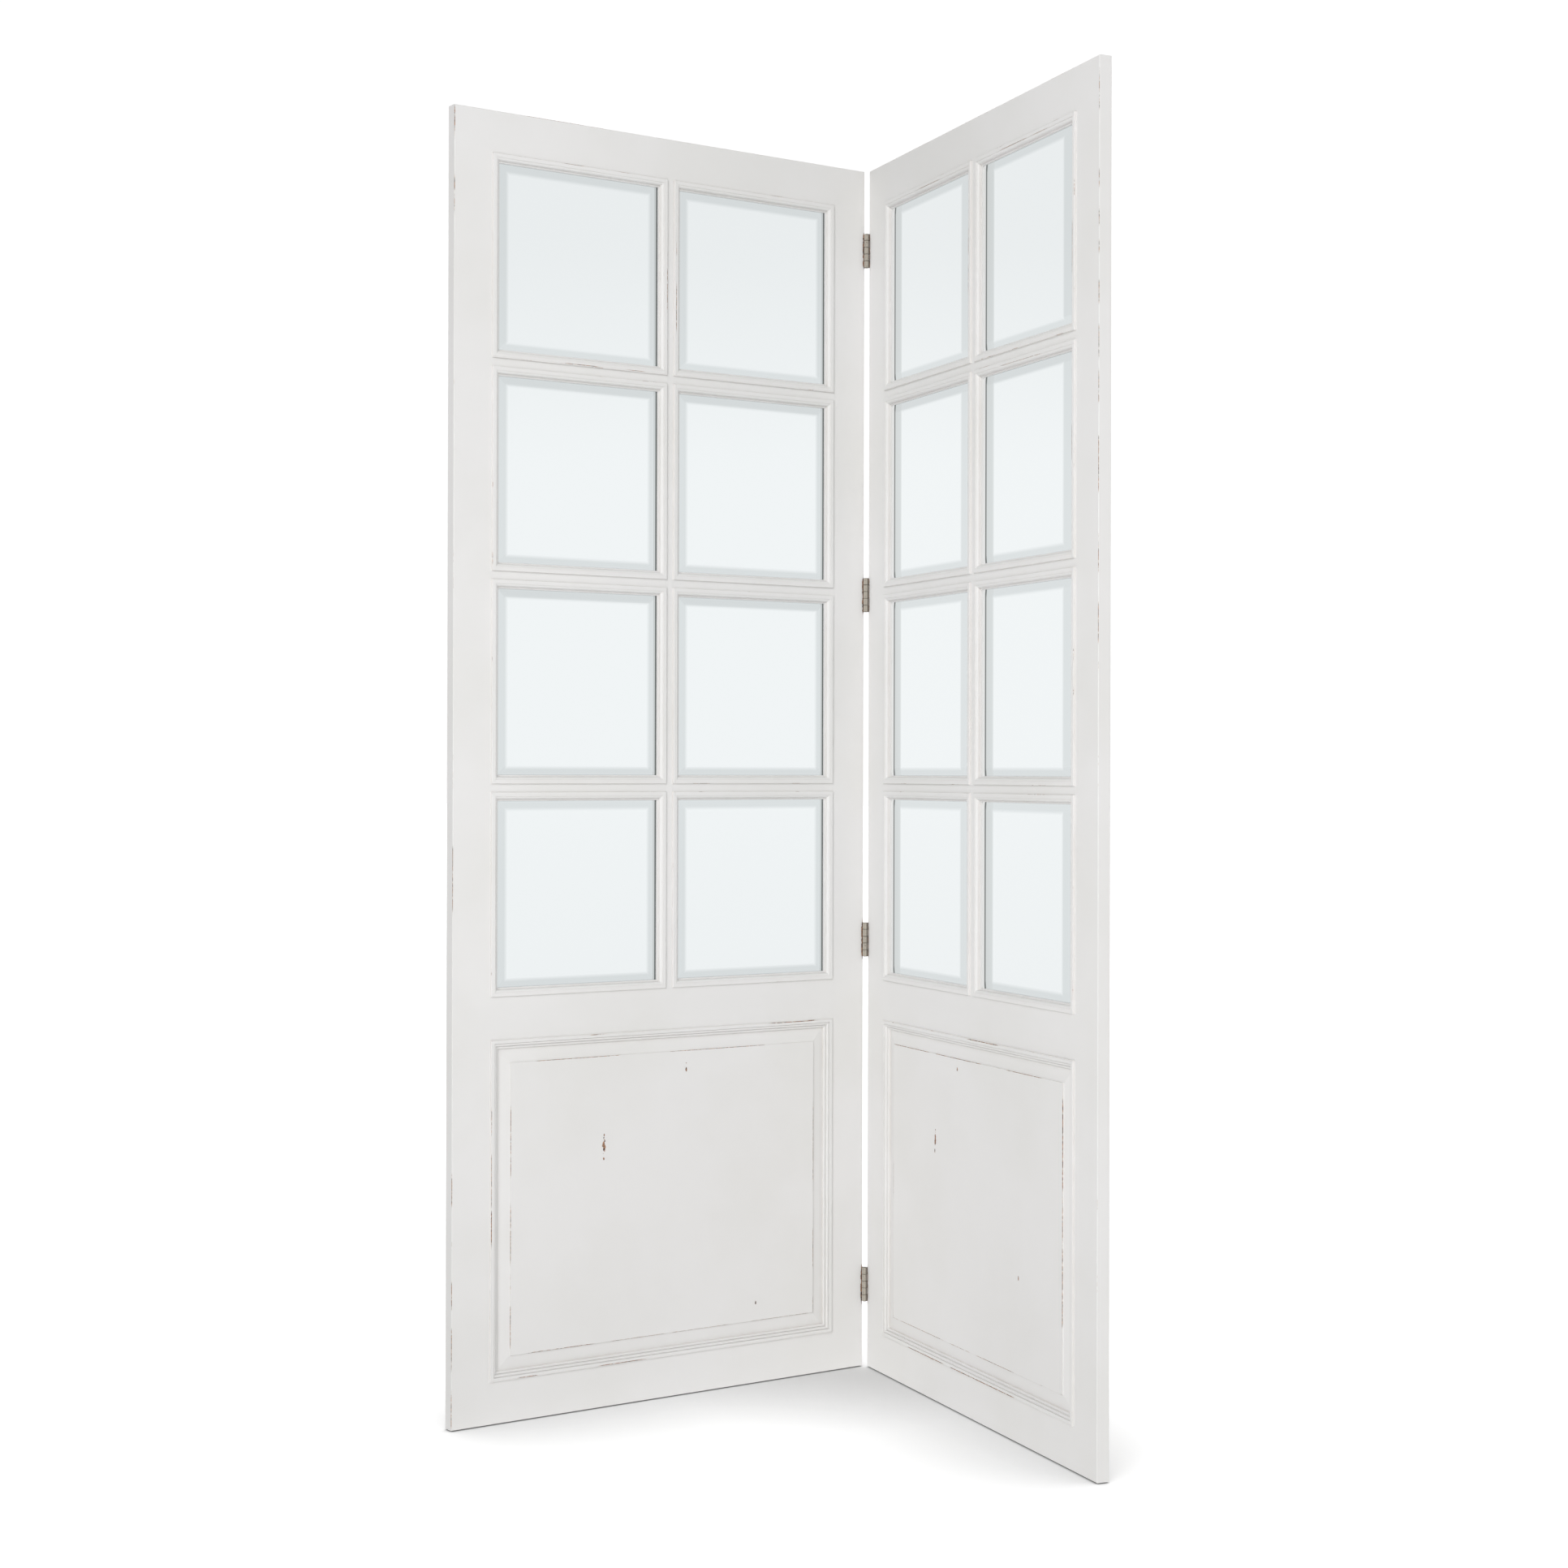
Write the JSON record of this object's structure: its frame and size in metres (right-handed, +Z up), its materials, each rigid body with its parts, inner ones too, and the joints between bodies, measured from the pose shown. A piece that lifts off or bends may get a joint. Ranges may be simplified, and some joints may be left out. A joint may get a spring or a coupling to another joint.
{
  "type": "mirrored room divider",
  "caption": "Folding screen of hinged painted wooden panels, each with a grid of bevelled mirror panes above a raised and fielded panel, standing as a V.",
  "frame": {"origin": "on the floor, under the middle of the screen's outline as it stands, with the hinge line behind it at X = 0", "axes": "+Z up, -Y towards the viewer, which is the side that the mirrored faces open to, +X to the viewer's right"},
  "size_m": [0.9068, 0.5452, 1.8],
  "materials": {
    "painted_wood": "off-white paint, satin, rubbed through on the edges",
    "mirror_glass": "polished, bevelled edges",
    "backing_board": "flat off-white paint",
    "hinge_metal": "satin nickel plate",
    "screw_steel": "plated"
  },
  "bodies": {
    "left_panel": {"left_outer_stile": "painted_wood", "left_hinge_stile": "painted_wood", "left_top_rail": "painted_wood", "left_mid_rail": "painted_wood", "left_bottom_rail": "painted_wood", "left_centre_bar": "painted_wood", "left_cross_bar_1": "painted_wood", "left_cross_bar_2": "painted_wood", "left_cross_bar_3": "painted_wood", "left_mirror_1": "mirror_glass", "left_mirror_2": "mirror_glass", "left_mirror_3": "mirror_glass", "left_mirror_4": "mirror_glass", "left_mirror_5": "mirror_glass", "left_mirror_6": "mirror_glass", "left_mirror_7": "mirror_glass", "left_mirror_8": "mirror_glass", "left_pane_mouldings": "painted_wood", "left_field_panel": "painted_wood", "left_field_moulding": "painted_wood", "left_back_board": "backing_board", "left_board_screws": "screw_steel", "left_hinge_screws": "screw_steel", "hinge_1_left_leaf": "hinge_metal", "hinge_2_left_leaf": "hinge_metal", "hinge_3_left_leaf": "hinge_metal", "hinge_4_left_leaf": "hinge_metal"},
    "right_panel": {"right_outer_stile": "painted_wood", "right_hinge_stile": "painted_wood", "right_top_rail": "painted_wood", "right_mid_rail": "painted_wood", "right_bottom_rail": "painted_wood", "right_centre_bar": "painted_wood", "right_cross_bar_1": "painted_wood", "right_cross_bar_2": "painted_wood", "right_cross_bar_3": "painted_wood", "right_mirror_1": "mirror_glass", "right_mirror_2": "mirror_glass", "right_mirror_3": "mirror_glass", "right_mirror_4": "mirror_glass", "right_mirror_5": "mirror_glass", "right_mirror_6": "mirror_glass", "right_mirror_7": "mirror_glass", "right_mirror_8": "mirror_glass", "right_pane_mouldings": "painted_wood", "right_field_panel": "painted_wood", "right_field_moulding": "painted_wood", "right_back_board": "backing_board", "right_board_screws": "screw_steel", "right_hinge_screws": "screw_steel", "hinge_1_right_leaf": "hinge_metal", "hinge_1_pin": "hinge_metal", "hinge_2_right_leaf": "hinge_metal", "hinge_2_pin": "hinge_metal", "hinge_3_right_leaf": "hinge_metal", "hinge_3_pin": "hinge_metal", "hinge_4_right_leaf": "hinge_metal", "hinge_4_pin": "hinge_metal"}
  },
  "joints": [
    {"name": "fold", "type": "hinge", "parent": "left_panel", "child": "right_panel", "pos_m": [0, 0.26057, 0.9], "axis": [0, 0, 1], "range_deg": [-78.4, 101.6]}
  ]
}
